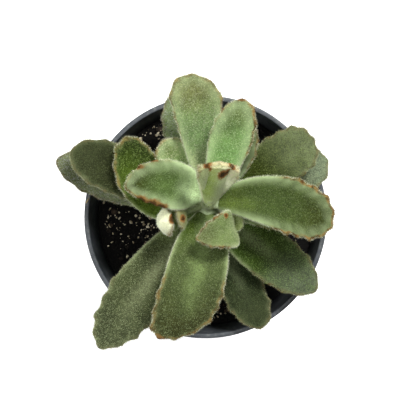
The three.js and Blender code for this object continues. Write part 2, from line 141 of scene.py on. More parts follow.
# The bud and the side shoots: a bent stem, by the places of its bends, with young leaves on it.
CROWN_BUD = {
    "bends": [(1.6, 6.9, 124.6), (2.3, 7.8, 127)], "radius": 2.1,
    "leaves": [
        leaf(0, 254, 0, 120, 118, 30, 15.4, 0.75, 3.4, 1.2, 35, 3, 4, 0.8, 0,
             roll=16, edge=1.6, foot=(1.8, 6, 124)),
        leaf(0, 76, 0, 63, 65, 29, 15.4, 0.75, 3.4, 1.2, 35, 3, 4, 0.8, 0,
             roll=14, edge=1.6, foot=(2.6, 9.1, 124)),
    ],
}
SIDE_SHOOT_LEFT = {
    "bends": [(-3, 4.5, 110.6), (-8.5, 2.8, 113), (-13.6, -1.4, 114.5)], "radius": 1.6,
    "leaves": [
        leaf(0, 189, 0, 15, 168, 17.8, 12, 0.55, 2.6, 1.6, 45, 3, 3, 0.2, 0,
             edge=1.6, foot=(-13.8, -1.2, 114.2), bowl=3.6),
        leaf(0, 13, 0, 30, 140, 13.5, 10.4, 0.55, 2.6, 1.6, 34, 2.8, 3, 0.2, 0,
             edge=1.4, foot=(-12.5, -0.3, 114.7), bowl=2.2),
    ],
}
SIDE_SHOOT_RIGHT = {
    "bends": [(4.6, 1.7, 102), (8, -1.3, 104.6), (10.4, -2.9, 113.5)], "radius": 1.6,
    "leaves": [
        leaf(0, 196, 0, 100, -10, 24, 15.6, 0.36, 1.5, 1.1, 30, 2.8, 4, 0.7, 0.15,
             edge=1.2, foot=(10.8, -4.5, 113.5)),
        leaf(0, 24, 0, 78, 35, 8.6, 7, 0.6, 2.2, 1.6, 30, 2, 2, 0.4, 0, foot=(11.3, -2.8, 110.4)),
    ],
}
# A tiny tip inside the left shoot, which the frame doesn't have.
SIDE_SHOOT_LEFT_TIP = {"bends": [(-12.3, 2.4, 115), (-13.4, -3.4, 117.8)], "radius": 2, "leaves": []}


# Working by hand: selection, edit mode and finished pieces.
def deselect_everything():
    if bpy.context.mode != "OBJECT":
        bpy.ops.object.mode_set(mode="OBJECT")
    bpy.ops.object.select_all(action="DESELECT")


def named_active(name):
    piece = bpy.context.active_object
    piece.name = name
    piece.data.name = name
    return piece


def take_up(piece):
    deselect_everything()
    piece.select_set(True)
    bpy.context.view_layer.objects.active = piece


def open_edit(kind="VERT"):
    bpy.ops.object.mode_set(mode="EDIT")
    bpy.ops.mesh.select_mode(type=kind)
    bpy.ops.mesh.select_all(action="SELECT")


def close_edit():
    bpy.ops.object.mode_set(mode="OBJECT")


def face_outwards():
    """Turns the active piece's faces outwards."""
    open_edit("FACE")
    bpy.ops.mesh.normals_make_consistent(inside=False)
    close_edit()


def points_of(piece):
    points = np.empty(len(piece.data.vertices) * 3)
    piece.data.vertices.foreach_get("co", points)
    return points.reshape(-1, 3)


def set_points(piece, points):
    piece.data.vertices.foreach_set("co", np.asarray(points, np.float64).ravel())
    piece.data.update()


def set_values(piece, name, values):
    """One number at each point, which finishes and hairs read by its name."""
    attribute = piece.data.attributes.get(name) or piece.data.attributes.new(name, "FLOAT", "POINT")
    attribute.data.foreach_set("value", np.asarray(values, np.float32))


def values_of(piece, name):
    values = np.empty(len(piece.data.vertices), np.float32)
    piece.data.attributes[name].data.foreach_get("value", values)
    return values


def apply_modifier(piece, kind, **settings):
    take_up(piece)
    modifier = piece.modifiers.new(kind.title(), kind)
    for key, value in settings.items():
        setattr(modifier, key, value)
    bpy.ops.object.modifier_apply(modifier=modifier.name)


def smooth(piece, angle=None):
    """Smooth shading, all over or where faces meet at less than an angle in degrees."""
    take_up(piece)
    if angle is None:
        bpy.ops.object.shade_smooth()
    else:
        bpy.ops.object.shade_smooth_by_angle(angle=math.radians(angle))


def settle(piece, finish):
    """The finished piece's place goes into its mesh, and it takes its finish."""
    take_up(piece)
    bpy.ops.object.transform_apply(location=True, rotation=True, scale=True)
    piece.data.materials.clear()
    piece.data.materials.append(finish)


def join(name, pieces):
    deselect_everything()
    for piece in pieces:
        piece.select_set(True)
    bpy.context.view_layer.objects.active = pieces[0]
    bpy.ops.object.join()
    return named_active(name)


def mesh_of_copies(name, points, faces):
    """One mesh of many copies of a small shape, by each copy's corner points and the faces of one copy."""
    copies, corners = points.shape[:2]
    faces = np.asarray(faces)
    sides = faces.shape[1]
    indices = (faces[None] + (np.arange(copies) * corners)[:, None, None]).reshape(-1)
    mesh = bpy.data.meshes.new(name)
    mesh.vertices.add(copies * corners)
    mesh.vertices.foreach_set("co", points.astype(np.float32).ravel())
    mesh.loops.add(len(indices))
    mesh.loops.foreach_set("vertex_index", indices.astype(np.int32))
    mesh.polygons.add(len(indices) // sides)
    mesh.polygons.foreach_set("loop_start", np.arange(0, len(indices), sides, dtype=np.int32))
    mesh.update(calc_edges=True)
    piece = bpy.data.objects.new(name, mesh)
    bpy.context.scene.collection.objects.link(piece)
    return piece


# Leaf forms, by the frame's own rules, at any number of places at once.
def lerp(a, b, share):
    return a + (b - a) * share


def smoothstep(low, high, value):
    share = np.clip((value - low) / (high - low), 0, 1)
    return share * share * (3 - 2 * share)


def unit(vectors):
    return vectors / np.maximum(np.linalg.norm(vectors, axis=-1, keepdims=True), 1e-12)


def along_curve(share, shares, curve):
    """Places on a curve of points, at shares of the way along it."""
    return np.stack([np.interp(share, shares, column) for column in curve.T], -1)


def leaf_direction(form, share):
    """Which way the rib runs at shares of its length, and its heading in radians."""
    heading = np.radians(form.heading + form.turn * share)
    slope = np.radians(lerp(form.rise, form.fall, share))
    ahead = np.stack([np.cos(slope) * np.cos(heading), np.cos(slope) * np.sin(heading), np.sin(slope)], -1)
    return ahead, heading


def rib_frame(form, foot, distance):
    """The rib's places at distances from the foot, with left and up there."""
    middles = (RIB_WALK[1:] + RIB_WALK[:-1]) / 2
    paces = leaf_direction(form, middles)[0] * np.diff(RIB_WALK)[:, None] * form.length
    walked = np.vstack([np.zeros(3), np.cumsum(paces, 0)])
    share = distance / form.length
    place = along_curve(share, RIB_WALK, walked) - along_curve(0, RIB_WALK, walked) + foot
    ahead, heading = leaf_direction(form, share)
    left = np.stack([-np.sin(heading), np.cos(heading), np.zeros_like(heading)], -1)
    across = np.cross(ahead, left)
    roll = math.radians(form.roll)
    left = left * math.cos(roll) + across * math.sin(roll)
    return place, left, np.cross(ahead, left)


def outline_rows(form):
    """Rows of a half leaf: the place on the edge, the place on the rib and how brown the edge may be."""
    half = form.width / 2
    share = np.linspace(0, 1, LOWER_STEPS, endpoint=False)
    lower = np.stack([
        share * form.belly * form.length,
        half * lerp(FOOT_SHARE, 1, 1 - (1 - share) ** form.swell),
    ], -1)
    angle = np.linspace(0, math.pi / 2, UPPER_STEPS)
    upper = np.stack([
        form.length * (form.belly + (1 - form.belly) * np.sin(angle) ** (2 / form.blunt)),
        half * np.maximum(np.cos(angle), 0) ** (2 / form.blunt),
    ], -1)
    curve = np.vstack([lower, upper])
    walked = np.concatenate([[0], np.cumsum(np.linalg.norm(np.diff(curve, axis=0), axis=1))])
    walked /= walked[-1]
    tooth_rows = form.teeth * ROWS_PER_TOOTH
    count = np.arange(SMOOTH_ROWS + tooth_rows + 1)
    toothed = np.maximum(count - SMOOTH_ROWS, 0) / tooth_rows
    along = TOOTHED_FROM * np.minimum(count / SMOOTH_ROWS, 1) + (1 - TOOTHED_FROM) * toothed
    edge = along_curve(along, walked, curve)
    ahead, behind = (along_curve(along + step, walked, curve) for step in (TANGENT_STEP, -TANGENT_STEP))
    tangent = unit(ahead - behind)
    wave = 0.5 + 0.5 * np.cos(2 * math.pi * form.teeth * (1 - toothed))
    size = TOOTH_SIZES[np.rint(form.teeth * (1 - toothed)).astype(int) % len(TOOTH_SIZES)]
    reach = np.where(toothed > 0, form.tooth * size * wave ** TOOTH_SHARPNESS, 0)
    edge = edge + np.stack([-tangent[:, 1], tangent[:, 0]], -1) * reach[:, None]
    edge[-1, 1] = 0
    stained = smoothstep(0.3, 0.6, along) * np.where(toothed > 0, 0.55 + 0.45 * wave, 0.6)
    return edge, RIB_SHARE * form.length * along, stained


def leaf_place(form, foot, x, y, ring, face):
    """Where a point of the flat leaf comes to be, on its upper face (1) or its lower face (-1)."""
    along = x / form.length
    place, left, up = rib_frame(form, foot, x + form.slant * y * along * along)
    flattened = 1 - TIP_FLATTENING * along * along
    if form.bowl:
        lift = form.bowl * flattened * np.abs(2 * y / form.width) ** BOWL_POWER
    else:
        softness = CHANNEL_SHARE * form.width
        slope = math.tan(math.radians(form.cup)) * flattened
        lift = slope * (np.hypot(y, softness) - softness) * (1 - MARGIN_ROLL * ring * ring)
    root = np.minimum(along / form.belly, 1)
    middle = lerp(FOOT_THICKNESS, form.thick, root) * (1 - TIP_THINNING * along * along)
    thickness = lerp(middle, form.edge, ring * ring)
    upper = lerp(UPPER_SHARE, 0.5, ring)
    offset = np.where(face > 0, thickness * upper, -thickness * (1 - upper))
    return place + left * y[:, None] + up * (lift + offset)[:, None]


def up_stem(height, at_foot, at_tip):
    """A value that changes evenly up the stem."""
    return lerp(at_foot, at_tip, (height - STEM_FOOT[2]) / (STEM_TIP[2] - STEM_FOOT[2]))


def foot_on_stem(form):
    """Where an open leaf's rib starts, just clear of the bark."""
    slope, heading = math.radians(form.rise), math.radians(form.heading)
    overhang = FOOT_THICKNESS * UPPER_SHARE * math.sin(slope)
    out = np.array([math.cos(heading), math.sin(heading), 0])
    radius = up_stem(form.height, STEM_FOOT_RADIUS, STEM_TIP_RADIUS)
    return up_stem(form.height, STEM_FOOT, STEM_TIP) + out * (radius + overhang + 2 * GAP)


def spots_at(across, along, blots):
    """How brown the blots make a place on a leaf, from 0 to 1."""
    spot = np.zeros_like(across)
    for middle, reach in blots:
        far = np.hypot((across - middle[0]) / reach[0], (along - middle[1]) / reach[1])
        spot = np.maximum(spot, smoothstep(1.25, 0.1, far))
    return spot


def make_leaf(name, form, foot, blots=()):
    """A fleshy leaf: a grid cut to the leaf's outline, drawn down to a body, and bent into its place."""
    edge, rib, stained = outline_rows(form)
    rows, rings = len(rib) - 1, len(RINGS) - 1
    deselect_everything()
    bpy.ops.mesh.primitive_grid_add(x_subdivisions=rows, y_subdivisions=2 * rings, size=1)
    piece = named_active(name)
    flat = points_of(piece)
    row = np.rint((flat[:, 0] + 0.5) * rows).astype(int)
    column = np.rint((flat[:, 1] + 0.5) * 2 * rings).astype(int) - rings
    ring, side = RINGS[np.abs(column)], np.sign(column)
    x = lerp(rib[row], edge[row, 0], ring)
    y = side * edge[row, 1] * ring
    set_points(piece, np.stack([x, y, np.zeros_like(x)], -1))
    set_values(piece, "ring", ring)
    set_values(piece, "tooth", stained[row] * smoothstep(0.5, 1, ring))
    open_edit()
    bpy.ops.mesh.remove_doubles(threshold=1e-5)
    bpy.ops.mesh.select_all(action="SELECT")
    bpy.ops.mesh.extrude_region_move(TRANSFORM_OT_translate={"value": (0, 0, -1)})
    close_edit()
    flat = points_of(piece)
    ring = values_of(piece, "ring").astype(float)
    face = np.where(flat[:, 2] > -0.5, 1, -1)
    set_values(piece, "along", flat[:, 0] / form.length)
    set_values(piece, "across", flat[:, 1] / (form.width / 2))
    set_values(piece, "upper", face)
    set_points(piece, leaf_place(form, foot, flat[:, 0], flat[:, 1], ring, face) * MM)
    face_outwards()
    apply_modifier(piece, "SUBSURF", levels=1, render_levels=1)
    set_values(piece, "spot", spots_at(values_of(piece, "across"), values_of(piece, "along"), blots))
    smooth(piece)
    return piece


# Hairs: one slim closed spike of three sides, copied many times.
def surface_of(piece):
    """The piece's triangles: their corners, the corner points and the corner normals.

    Blender may number faces differently in each run, so they are put in order by their place along one
    slanting direction, and the hairs stand in the same places every time.
    """
    mesh, points = piece.data, points_of(piece)
    rank = points @ SORTING_DIRECTION
    loops = np.empty(len(mesh.loops), np.int32)
    mesh.loops.foreach_get("vertex_index", loops)
    sizes = np.empty(len(mesh.polygons), np.int32)
    mesh.polygons.foreach_get("loop_total", sizes)
    starts = np.cumsum(sizes) - sizes
    corners = []
    for size in (3, 4):
        turn = np.arange(size)
        faces = loops[starts[sizes == size][:, None] + turn]
        lowest = rank[faces].argmin(1)[:, None]
        faces = np.take_along_axis(faces, (lowest + turn) % size, 1)
        corners += [faces[:, [0, k, k + 1]] for k in range(1, size - 1)]
    corners = np.vstack(corners)
    corners = corners[rank[corners].sum(1).argsort()]
    normals = np.empty(len(mesh.vertices) * 3)
    mesh.vertices.foreach_get("normal", normals)
    return corners, points[corners], normals.reshape(-1, 3)[corners]


def hair_coat(name, piece, weight, count, length, width, seed, lean, spread, tuft=1):
    """Short hairs rooted on a piece in small tufts, thickest where weight is highest."""
    chance = np.random.default_rng(seed)
    corners, points, normals = surface_of(piece)
    area = np.linalg.norm(np.cross(points[:, 1] - points[:, 0], points[:, 2] - points[:, 0]), axis=1)
    area = area * weight[corners].mean(1)
    chosen = np.repeat(chance.choice(len(area), count // tuft, p=area / area.sum()), tuft)
    shares = np.repeat(chance.dirichlet((1, 1, 1), count // tuft), tuft, 0)[:, :, None]
    count = len(chosen)
    normal = unit((normals[chosen] * shares).sum(1))
    aside = np.cross(normal, chance.normal(0, TUFT_SPREAD * MM * (tuft > 1), (count, 3)))
    root = (points[chosen] * shares).sum(1) + aside
    way = unit(normal + np.array(lean) + chance.normal(0, spread, (count, 3)))
    reach = length * chance.uniform(0.6, 1.3, count)
    beside = unit(np.cross(way, chance.normal(0, 1, (count, 3))))
    other = np.cross(way, beside)
    root = root - normal * ROOT_DEPTH * MM
    copies = np.empty((count, 4, 3))
    for k in range(3):
        angle = k * 2 * math.pi / 3
        copies[:, k] = root + (beside * math.cos(angle) + other * math.sin(angle)) * width * MM / 2
    copies[:, 3] = root + way * (reach * MM)[:, None]
    return mesh_of_copies(name, copies, [[0, 1, 3], [1, 2, 3], [2, 0, 3], [0, 2, 1]])


def felt(name, piece, count, seed, lean, hair, margin_hair, brown=0.0, halo_hair=None,
         brown_side=0, hair_width=0.1):
    """The felt over a piece, the fringe of longer hairs along its edges, and brown hairs where it's brown."""
    ring, upper, tooth, spot = (values_of(piece, key) for key in ("ring", "upper", "tooth", "spot"))
    blot, dark = smoothstep(0.15, 0.5, spot), smoothstep(0.6, 0.9, spot)
    singed = smoothstep(0.93, 1.0, ring) * smoothstep(0.3, 0.8, tooth) * brown
    if brown_side:
        singed = singed * lerp(0.3, 1, smoothstep(-0.35, 0.25, values_of(piece, "across") * brown_side))
    covered = np.where(upper > 0, 1.0, UNDERSIDE_FELT) * (1 - blot) + TRACE
    fringed = smoothstep(0.96, 1.0, ring) * (1 - 0.7 * tooth) * (1 - blot) + TRACE
    # Each coat's kind, where it grows, its hairs' number, length, width, disorder and tuft, and their finish.
    coats = [
        ("felt", covered, count, FELT_LENGTH, hair_width, 0.7, 2, hair),
        ("fringe", fringed, count // 3, FRINGE_LENGTH, FRINGE_WIDTH, 0.4, 1, margin_hair),
    ]
    browns = [
        ("brown_felt", singed * (1 - blot), 0.8, BROWN_HAIR),
        ("halo_felt", blot * (1 - dark), 0.6, halo_hair or BROWN_HAIR),
        ("dark_felt", dark, 0.5, DARK_HAIR),
    ]
    for kind, weight, length, finish in browns:
        if weight.max() > 0.02:
            share = min(float(weight.mean()) * 4, 1)
            coats.append((kind, weight + 1e-6, int(count * share) + 20, length, BROWN_WIDTH, 0.6, 2, finish))
    for k, (kind, weight, hairs, length, width, spread, tuft, finish) in enumerate(coats):
        coat_seed = seed + 100 * k
        coat = hair_coat(f"{name}_{kind}", piece, weight, hairs, length, width, coat_seed, lean, spread, tuft)
        settle(coat, finish)
        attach(coat, "root")


# Finishes.
class Finish:
    """A material's node tree, laid out one node at a time."""

    def __init__(self, name):
        self.material = bpy.data.materials.new(name)
        self.material.use_nodes = True
        self.tree = self.material.node_tree
        self.shader = self.tree.nodes["Principled BSDF"]

    def put(self, socket, value):
        if isinstance(value, bpy.types.NodeSocket):
            self.tree.links.new(value, socket)
        else:
            socket.default_value = value

    def lay(self, kind, output, inputs, **settings):
        """A new node with its settings and inputs, of which one output is handed on."""
        node = self.tree.nodes.new("ShaderNode" + kind)
        for key, value in settings.items():
            setattr(node, key, value)
        for socket, value in inputs.items():
            self.put(node.inputs[socket], value)
        return node.outputs[output]

    def place(self):
        return self.lay("TexCoord", "Object", {})

    def height(self):
        return self.lay("SeparateXYZ", "Z", {0: self.place()})

    def attribute(self, name):
        return self.lay("Attribute", "Fac", {}, attribute_name=name)

    def noise(self, scale, detail=3, roughness=0.5):
        inputs = {"Vector": self.place(), "Scale": scale, "Detail": detail, "Roughness": roughness}
        return self.lay("TexNoise", "Fac", inputs)

    def cells(self, scale):
        return self.lay("TexVoronoi", "Distance", {"Vector": self.place(), "Scale": scale})

    def math(self, operation, a, b=0.0):
        return self.lay("Math", 0, {0: a, 1: b}, operation=operation)

    def ramp(self, value, low, high, to_low=0.0, to_high=1.0, kind="SMOOTHSTEP"):
        inputs = {"Value": value, "From Min": low, "From Max": high, "To Min": to_low, "To Max": to_high}
        return self.lay("MapRange", "Result", inputs, interpolation_type=kind)

    def wavering(self, name, scale, reach):
        """A piece's value of this name, raised and lowered a little from place to place."""
        waver = self.ramp(self.noise(scale, 2), 0.3, 0.7, -reach, reach)
        return self.math("ADD", self.attribute(name), waver)

    def mix(self, share, a, b):
        return self.lay("Mix", 2, {"Factor": share, 6: a, 7: b}, data_type="RGBA")

    def scale(self, colour, strength):
        return self.lay("VectorMath", 0, {0: colour, "Scale": strength}, operation="SCALE")

    def bump(self, height, strength, distance, before=None):
        inputs = {"Strength": strength, "Distance": distance, "Height": height}
        if before is not None:
            inputs["Normal"] = before
        return self.lay("Bump", "Normal", inputs)

    def shade(self, **values):
        for key, value in values.items():
            self.put(self.shader.inputs[key.replace("_", " ")], value)
        return self.material


def rgb(red, green, blue):
    return (red, green, blue, 1.0)


# The pale green under every open leaf.
UNDERSIDE = (0.26, 0.31, 0.15)


def leaf_finish(name, base, middle, tip, brown, rib=None, edge_felt_and_sheen=(0.3, 0.38, 0.17), edge_felt_and_sheen_from=0.8,
                brown_from=0.87, brown_teeth=(0.2, 0.75), patch_scale=330, patch=(0.3, 0.5),
                light_brown=(0.24, 0.145, 0.045), dark_brown=(0.06, 0.03, 0.008), side=None,
                under_share=0.6, grain=(0.55, 1.4), tawny=(0.2, 0.11, 0.035), brown_side=0):
    """Felted flesh: colours from foot to tip, a rib, a side and a pale edge that partly carry painted light
    and shade, brown teeth and blots.
    """
    finish = Finish(name)
    along = finish.wavering("along", 60, 0.07)
    ring = finish.wavering("ring", 500, 0.02)
    tooth = finish.attribute("tooth")
    colour = finish.mix(finish.ramp(along, 0.08, 0.42), rgb(*base), rgb(*middle))
    colour = finish.mix(finish.ramp(along, 0.5, 0.95), colour, rgb(*tip))
    # The rib's paler colour: partly its denser felt, partly a painted highlight along the rib.
    if rib is not None:
        beside = finish.math("ABSOLUTE", finish.attribute("across"))
        near = finish.math("MULTIPLY", finish.ramp(beside, 0.45, 0.0), finish.ramp(along, 0.9, 0.4))
        colour = finish.mix(near, colour, rgb(*rib))
    # One side painted lighter or darker: painted light and shade by how each half faces the light.
    if side is not None:
        share = finish.ramp(finish.attribute("across"), -0.3, 0.9)
        colour = finish.mix(finish.math("MULTIPLY", share, 0.85), colour, rgb(*side))
    under = finish.ramp(finish.attribute("upper"), 0.5, -0.5, 0.0, under_share)
    colour = finish.mix(under, colour, rgb(*UNDERSIDE))
    mottle = finish.ramp(finish.noise(150, 4, 0.6), 0.3, 0.7, 0.8, 1.2)
    speckle = finish.ramp(finish.noise(2100, 2, 0.7), 0.35, 0.65, *grain)
    colour = finish.scale(colour, finish.math("MULTIPLY", mottle, speckle))
    # The pale edge: partly thicker felt, partly a painted sheen highlight where the fuzz is seen edge-on.
    pale = finish.math("POWER", finish.ramp(ring, edge_felt_and_sheen_from, 1.0, kind="LINEAR"), 2.0)
    pale = finish.math("MULTIPLY", pale, finish.ramp(tooth, 0.8, 0.0, 0.4, 0.95))
    colour = finish.mix(pale, colour, rgb(*edge_felt_and_sheen))
    patches = finish.ramp(finish.noise(patch_scale, 2), *patch, 0.3, 1.0)
    stained = finish.math("MULTIPLY", finish.ramp(ring, brown_from, 0.95), finish.ramp(tooth, *brown_teeth))
    burnt = finish.mix(finish.ramp(finish.noise(420, 2), 0.42, 0.58), rgb(*light_brown), rgb(*dark_brown))
    stained = finish.math("MULTIPLY", stained, finish.math("MULTIPLY", patches, brown))
    if brown_side:
        browner = finish.math("MULTIPLY", finish.attribute("across"), brown_side)
        stained = finish.math("MULTIPLY", stained, finish.ramp(browner, -0.35, 0.25, 0.3, 1.0))
    colour = finish.mix(stained, colour, burnt)
    spot = finish.wavering("spot", 700, 0.15)
    spotted = finish.mix(finish.ramp(spot, 0.55, 0.9), rgb(*tawny), rgb(*dark_brown))
    colour = finish.mix(finish.ramp(spot, 0.1, 0.6), colour, spotted)
    normal = finish.bump(finish.noise(1700, 3, 0.7), 0.6, 0.0003)
    normal = finish.bump(finish.noise(330, 3, 0.6), 0.2, 0.0005, normal)
    finish.shade(Base_Color=colour, Roughness=0.85, Normal=normal)
    finish.shade(Sheen_Weight=0.3, Sheen_Roughness=0.35, Sheen_Tint=rgb(0.8, 0.92, 0.5))
    return finish.shade(Specular_IOR_Level=0.1)


def hair_finish(name, colour):
    finish = Finish(name)
    return finish.shade(Base_Color=rgb(*colour), Roughness=0.7, Specular_IOR_Level=0.15)


BROWN_HAIR = hair_finish("brown_hair", (0.21, 0.115, 0.03))
TAWNY_HAIR = hair_finish("tawny_hair", (0.36, 0.17, 0.05))
DARK_HAIR = hair_finish("dark_brown_hair", (0.07, 0.03, 0.01))
BUD_HAIR = hair_finish("white_green_hair", (0.66, 0.75, 0.4))
WHITE_HAIR = hair_finish("white_hair", (0.88, 0.92, 0.74))
TAN_HAIR = hair_finish("tan_hair", (0.38, 0.41, 0.2))
GREEN_HAIR = hair_finish("pale_green_hair", (0.42, 0.48, 0.25))
CREAM_HAIR = hair_finish("cream_hair", (0.82, 0.86, 0.62))
DULL_CREAM_HAIR = hair_finish("dull_cream_hair", (0.5, 0.54, 0.32))

# Each open leaf's tone, its colours by its foot, in its middle and at its tip, how brown its teeth are,
# and the colour of its rib where that stands out. Beside each leaf's own greens, these colours hold painted
# shade where a leaf lies under others and painted light where it lies in the light.
LEAF_LOOKS = [
    ("old", (0.2, 0.21, 0.11), (0.18, 0.21, 0.11), (0.12, 0.14, 0.07), 0.5, None),
    ("old", (0.024, 0.041, 0.005), (0.01, 0.017, 0.004), (0.036, 0.047, 0.018), 0.4, (0.06, 0.075, 0.035)),
    ("old", (0.061, 0.065, 0.01), (0.06, 0.07, 0.034), (0.14, 0.175, 0.105), 0.35, None),
    ("old", (0.3, 0.4, 0.12), (0.056, 0.069, 0.027), (0.05, 0.06, 0.027), 0.25, (0.14, 0.16, 0.08)),
    ("old", (0.066, 0.128, 0.014), (0.033, 0.057, 0.008), (0.089, 0.11, 0.065), 0.45, (0.11, 0.14, 0.06)),
    ("old", (0.455, 0.637, 0.255), (0.26, 0.338, 0.156), (0.117, 0.157, 0.068), 0.4, None),
    ("old", (0.22, 0.275, 0.066), (0.013, 0.017, 0.003), (0.037, 0.046, 0.017), 0.3, None),
    ("old", (0.135, 0.215, 0.033), (0.031, 0.044, 0.004), (0.115, 0.14, 0.065), 0.5, None),
    ("middle", (0.009, 0.009, 0.003), (0.01, 0.015, 0.002), (0.026, 0.041, 0.005), 0.7, None),
    ("middle", (0.12, 0.16, 0.05), (0.12, 0.16, 0.05), (0.12, 0.16, 0.05), 0.5, None),
    ("middle", (0.05, 0.08, 0.009), (0.063, 0.086, 0.027), (0.032, 0.036, 0.01), 0.7, (0.13, 0.18, 0.06)),
    ("middle", (0.16, 0.25, 0.06), (0.06, 0.098, 0.009), (0.013, 0.021, 0.003), 0.55, None),
    ("young", (0.54, 0.72, 0.36), (0.213, 0.312, 0.112), (0.087, 0.118, 0.031), 0.6, None),
    ("middle", (0.087, 0.125, 0.024), (0.043, 0.066, 0.015), (0.034, 0.045, 0.008), 1.0, None),
    ("middle", (0.69, 0.75, 0.414), (0.13, 0.202, 0.075), (0.127, 0.142, 0.049), 0.6, None),
    ("young", (0.4, 0.52, 0.27), (0.069, 0.111, 0.028), (0.028, 0.035, 0.005), 1.0, None),
    ("young", (0.632, 0.75, 0.443), (0.164, 0.293, 0.093), (0.092, 0.128, 0.041), 1.0, None),
]

# The edge, pale with felt and a painted sheen highlight, and the grain of each tone, and of two leaves with a
# darker edge.
EDGES = {
    "old": dict(
        edge_felt_and_sheen=(0.24, 0.29, 0.14), edge_felt_and_sheen_from=0.78, grain=(0.5, 1.3),
        light_brown=(0.13, 0.09, 0.04), dark_brown=(0.035, 0.02, 0.009),
    ),
    "middle": dict(edge_felt_and_sheen=(0.4, 0.5, 0.26), edge_felt_and_sheen_from=0.45, grain=(0.55, 1.35)),
    "young": dict(edge_felt_and_sheen=(0.5, 0.62, 0.34), edge_felt_and_sheen_from=0.3, brown_from=0.84, grain=(0.72, 1.25)),
}
DARK_EDGED_LEAVES = (11, 12)
DARK_EDGE = dict(edge_felt_and_sheen=(0.3, 0.37, 0.17), edge_felt_and_sheen_from=0.8, grain=(0.55, 1.35))

# The leaves that are browner along one edge: 1 for the left edge, -1 for the right.
BROWNER_SIDE = {16: 1, 17: -1}

# Brown blots on open leaves and on young ones: each blot's place across and along the leaf, and its reach.
LEAF_BLOTS = {
    11: (((-0.7, 1), (0.4, 0.05)),),
    16: (
        ((0.98, 0.6), (0.2, 0.14)), ((0.88, 0.74), (0.28, 0.16)), ((0.68, 0.88), (0.26, 0.12)),
        ((-0.72, 0.86), (0.14, 0.1)), ((-0.95, 0.73), (0.09, 0.1)),
    ),
    17: (((0.86, 0.94), (0.18, 0.08)), ((0, 1.03), (0.6, 0.04)), ((-0.84, 0.95), (0.18, 0.07))),
}
SHOOT_BLOTS = {
    ("crown_bud", 1): (
        ((0.2, 0.86), (0.3, 0.14)), ((0.55, 0.9), (0.4, 0.1)),
        ((-0.62, 0.96), (0.26, 0.08)), ((0.84, 1), (0.16, 0.06)),
    ),
    ("crown_bud", 2): (((0.7, 1), (0.4, 0.06)), ((-0.7, 1), (0.3, 0.07))),
    ("side_shoot_left", 1): (((-0.1, 1.02), (0.5, 0.1)),),
    ("side_shoot_left", 2): (((0.85, 0.85), (0.3, 0.12)), ((-0.15, 0.85), (0.36, 0.14))),
    ("side_shoot_right", 1): (
        ((-0.74, 0.45), (0.18, 0.06)), ((-0.3, 0.05), (0.12, 0.05)), ((-0.85, 0.75), (0.14, 0.1)),
    ),
}

# A leaf's hairs have its middle colour, painted shade and all, lifted and a little less saturated, within
# limits.
HAIR_LIFT = {"old": 6.6, "middle": 4.1, "young": 3.5}
HAIR_LIGHTEST = {"old": 0.5, "middle": 0.65, "young": 0.8}
HAIR_DARKEST = np.array([0.07, 0.07, 0.045])
HAIR_SILVER = 0.22
HAIR_WIDTH = {"old": 0.13, "middle": 0.12, "young": 0.11}

for number, (form, look) in enumerate(zip(LEAVES, LEAF_LOOKS), 1):
    tone, base, middle, tip, brown, rib = look
    name = f"leaf_{number:02d}"
    body = make_leaf(f"{name}_flesh", form, foot_on_stem(form), LEAF_BLOTS.get(number, ()))
    edge = DARK_EDGE if number in DARK_EDGED_LEAVES else EDGES[tone]
    browner = BROWNER_SIDE.get(number, 0)
    flesh = leaf_finish(f"{name}_felted_green", base, middle, tip, brown, rib, brown_side=browner, **edge)
    settle(body, flesh)
    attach(body, "root")
    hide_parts(name)
    silvered = lerp(np.array(middle), np.mean(middle), HAIR_SILVER)
    hair_colour = np.minimum(HAIR_DARKEST + HAIR_LIFT[tone] * silvered, HAIR_LIGHTEST[tone])
    hair = hair_finish(f"{name}_hair", tuple(hair_colour.tolist()))
    margin = DULL_CREAM_HAIR if tone == "old" else CREAM_HAIR
    count = int(form.length * form.width * HAIRS_PER_SQUARE)
    lean = leaf_direction(form, np.array([0.5]))[0][0] * HAIR_LEAN
    felt(name, body, count, number, lean, hair, margin, brown, brown_side=browner,
         hair_width=HAIR_WIDTH[tone])


# The looks of the young leaves of the bud and the shoots, of their stalks and of the swellings.
TAWNY = (0.3, 0.14, 0.04)
WOOLLY = dict(tawny=TAWNY, patch_scale=190, under_share=0.0)
# The bud's outer leaf is painted paler on one side as painted light; its inner leaf darker on one side as
# painted shade.
BUD_LOOK = dict(
    WOOLLY, base=(0.42, 0.52, 0.2), middle=(0.22, 0.3, 0.07), tip=(0.3, 0.36, 0.11), brown=0.5,
    edge_felt_and_sheen=(0.85, 0.82, 0.56), edge_felt_and_sheen_from=0.8, brown_from=0.84, brown_teeth=(0.3, 0.7), patch=(0.48, 0.6),
    side=(0.8, 0.86, 0.6), grain=(0.85, 1.12),
)
BUD_INNER_LOOK = dict(
    BUD_LOOK, base=(0.85, 0.88, 0.64), middle=(0.85, 0.88, 0.64), tip=(0.75, 0.72, 0.46),
    edge_felt_and_sheen=(0.55, 0.45, 0.22), edge_felt_and_sheen_from=0.9, side=(0.28, 0.35, 0.13),
)
WHITE_LEAF_LOOK = dict(
    WOOLLY, base=(0.7, 0.75, 0.52), middle=(0.75, 0.78, 0.57), tip=(0.62, 0.64, 0.42), brown=0.6,
    edge_felt_and_sheen=(0.75, 0.74, 0.52), edge_felt_and_sheen_from=0.8, brown_from=0.8, brown_teeth=(0.3, 0.8), patch=(0.4, 0.55),
    grain=(0.85, 1.12),
)
TAN_LEAF_LOOK = dict(
    WOOLLY, base=(0.2, 0.25, 0.1), middle=(0.2, 0.24, 0.1), tip=(0.22, 0.22, 0.09), brown=0.3,
    edge_felt_and_sheen=(0.42, 0.42, 0.24), edge_felt_and_sheen_from=0.6, brown_from=0.8, brown_teeth=(0.1, 0.5), patch=(0.4, 0.6),
    grain=(0.8, 1.15),
)
